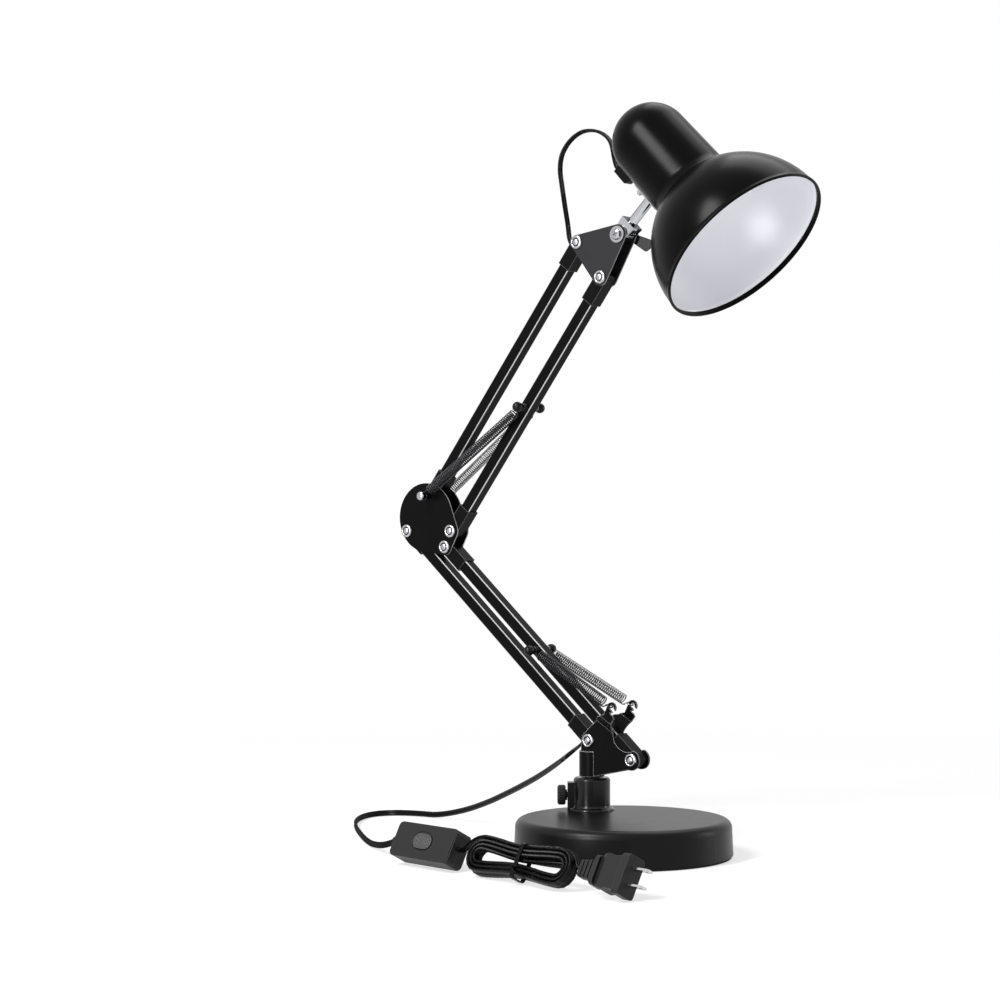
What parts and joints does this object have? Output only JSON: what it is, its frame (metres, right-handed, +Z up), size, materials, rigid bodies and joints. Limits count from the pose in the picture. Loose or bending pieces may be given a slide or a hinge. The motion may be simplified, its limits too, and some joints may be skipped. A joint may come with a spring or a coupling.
{
  "type": "swing-arm desk lamp",
  "caption": "Desk lamp with two spring-balanced parallelogram arms on a round weighted base, a tilting bell shade and a corded switch.",
  "frame": {"origin": "centre of the base's underside, on the table", "axes": "+Z up, +X to the side that the shade is on, arms parallel to the XZ plane, front towards -Y"},
  "size_m": [0.4822, 0.2995, 0.622],
  "materials": {
    "black_paint": "satin",
    "collar_black": "gloss",
    "cast_ballast": "raw",
    "bare_steel": "zinc plated",
    "foam_pad": "matt foam",
    "knob_plastic": "satin",
    "zinc": "bright zinc",
    "sleeve_plastic": "satin",
    "spring_steel": "dark zinc",
    "chrome": "polished",
    "white_enamel": "gloss white",
    "holder_plastic": "matt",
    "holder_brass": "bright",
    "cord_vinyl": "satin vinyl",
    "switch_plastic": "satin",
    "plug_nickel": "nickel plated"
  },
  "bodies": {
    "base": {"base_cover": "black_paint", "base_ballast": "cast_ballast", "base_plate": "bare_steel", "base_pad": "foam_pad", "collar": "collar_black", "collar_nut": "bare_steel", "cord_free": "cord_vinyl", "switch_front": "switch_plastic", "switch_back": "switch_plastic", "cord_hank": "cord_vinyl", "hank_tie": "cord_vinyl", "plug_body": "switch_plastic", "plug_blades": "plug_nickel"},
    "thumb_screw": {"thumb_screw": "knob_plastic"},
    "bracket": {"bracket_hub": "collar_black", "bracket_plate_front": "black_paint", "bracket_plate_rear": "black_paint", "bracket_rivets": "zinc"},
    "lower_main": {"lower_bar": "black_paint", "lower_bar_sleeves": "sleeve_plastic", "lead_in_lower_bar": "cord_vinyl"},
    "lower_link": {"lower_link": "black_paint", "lower_link_sleeves": "sleeve_plastic", "lower_spring_pin": "knob_plastic"},
    "lower_springs": {"lower_spring_front": "spring_steel", "lower_spring_rear": "spring_steel"},
    "elbow": {"elbow_plate_front": "black_paint", "elbow_plate_rear": "black_paint", "elbow_rivets": "zinc", "elbow_long_pin": "zinc", "lead_elbow_low": "cord_vinyl", "lead_elbow_high": "cord_vinyl"},
    "upper_main": {"upper_bar": "black_paint", "upper_bar_sleeves": "sleeve_plastic", "lead_in_upper_bar": "cord_vinyl"},
    "upper_link": {"upper_link": "black_paint", "upper_link_sleeves": "sleeve_plastic", "upper_spring_pin": "knob_plastic", "upper_spring_front": "spring_steel", "upper_spring_rear": "spring_steel"},
    "head": {"head_plate_front": "black_paint", "head_plate_rear": "black_paint", "head_rivets": "zinc", "head_bolt": "zinc", "lead_rise": "cord_vinyl"},
    "wing_nut": {"head_wing_nut": "knob_plastic"},
    "knuckle": {"knuckle": "chrome"},
    "shade": {"head_rod": "chrome", "rod_saddle": "chrome", "shade_shell": "black_paint", "shade_enamel": "white_enamel", "holder_strap": "bare_steel", "holder_body": "holder_plastic", "holder_shell": "holder_brass", "holder_contact": "holder_brass", "lead_gland": "cord_vinyl", "lead_drop": "cord_vinyl"},
    "rocker": {"switch_rocker": "switch_plastic"}
  },
  "joints": [
    {"name": "thumb_turn", "type": "hinge", "parent": "base", "child": "thumb_screw", "pos_m": [-0.052, 0.027, 0.0435], "axis": [-0.788, -0.6157, 0], "range_deg": [-180, 180]},
    {"name": "base_swivel", "type": "hinge", "parent": "base", "child": "bracket", "pos_m": [-0.052, 0.027, 0.06], "axis": [0, 0, 1], "range_deg": [-160, 160], "deforming": ["cord_free"]},
    {"name": "lower_arm_lift", "type": "hinge", "parent": "bracket", "child": "lower_main", "pos_m": [-0.05, 0.027, 0.09], "axis": [0, 1, 0], "range_deg": [-5, 62], "deforming": ["cord_free", "lower_spring_front", "lower_spring_rear", "lead_elbow_low"]},
    {"name": "lower_link_lift", "type": "hinge", "parent": "bracket", "child": "lower_link", "pos_m": [-0.006, 0.027, 0.076], "axis": [0, 1, 0], "range_deg": [-5, 62], "deforming": ["lower_spring_front", "lower_spring_rear"]},
    {"name": "lower_spring_turn", "type": "hinge", "parent": "lower_link", "child": "lower_springs", "pos_m": [-0.10713, 0.027, 0.16391], "axis": [0, 1, 0], "range_deg": [-2.36, 28.12], "deforming": ["lower_spring_front", "lower_spring_rear"]},
    {"name": "elbow_level", "type": "hinge", "parent": "lower_main", "child": "elbow", "pos_m": [-0.25226, 0.027, 0.26582], "axis": [0, 1, 0], "range_deg": [-62, 5], "deforming": ["lead_elbow_low"]},
    {"name": "upper_arm_lift", "type": "hinge", "parent": "elbow", "child": "upper_main", "pos_m": [-0.22626, 0.027, 0.29682], "axis": [0, 1, 0], "range_deg": [-40, 45], "deforming": ["upper_spring_front", "upper_spring_rear", "lead_elbow_high", "lead_rise", "lead_drop"]},
    {"name": "upper_link_lift", "type": "hinge", "parent": "elbow", "child": "upper_link", "pos_m": [-0.20176, 0.027, 0.26582], "axis": [0, 1, 0], "range_deg": [-40, 45], "deforming": ["upper_spring_front", "upper_spring_rear"]},
    {"name": "head_level", "type": "hinge", "parent": "upper_main", "child": "head", "pos_m": [-0.0622, 0.027, 0.51063], "axis": [0, 1, 0], "range_deg": [-45, 40], "deforming": ["lead_rise"]},
    {"name": "wing_turn", "type": "hinge", "parent": "head", "child": "wing_nut", "pos_m": [-0.0197, 0.027, 0.51413], "axis": [0, 1, 0], "range_deg": [-180, 180]},
    {"name": "knuckle_tilt", "type": "hinge", "parent": "head", "child": "knuckle", "pos_m": [-0.0197, 0.027, 0.51413], "axis": [0, 1, 0], "range_deg": [-60, 60], "deforming": ["lead_rise", "lead_drop"]},
    {"name": "shade_swivel", "type": "hinge", "parent": "knuckle", "child": "shade", "pos_m": [-0.0197, 0.027, 0.51413], "axis": [0.7145, 0, 0.6997], "range_deg": [-80, 80], "deforming": ["lead_rise", "lead_drop"]},
    {"name": "rocker_press", "type": "hinge", "parent": "base", "child": "rocker", "pos_m": [-0.0828, -0.15205, 0.01914], "axis": [0.0734, 0.4637, 0.8829], "range_deg": [-12, 0]}
  ],
  "couplings": [
    {"joint": "lower_link_lift", "follows": "lower_arm_lift", "ratio": 1},
    {"joint": "lower_spring_turn", "follows": "lower_arm_lift", "ratio": 0.452},
    {"joint": "elbow_level", "follows": "lower_arm_lift", "ratio": -1},
    {"joint": "upper_link_lift", "follows": "upper_arm_lift", "ratio": 1},
    {"joint": "head_level", "follows": "upper_arm_lift", "ratio": -1}
  ]
}
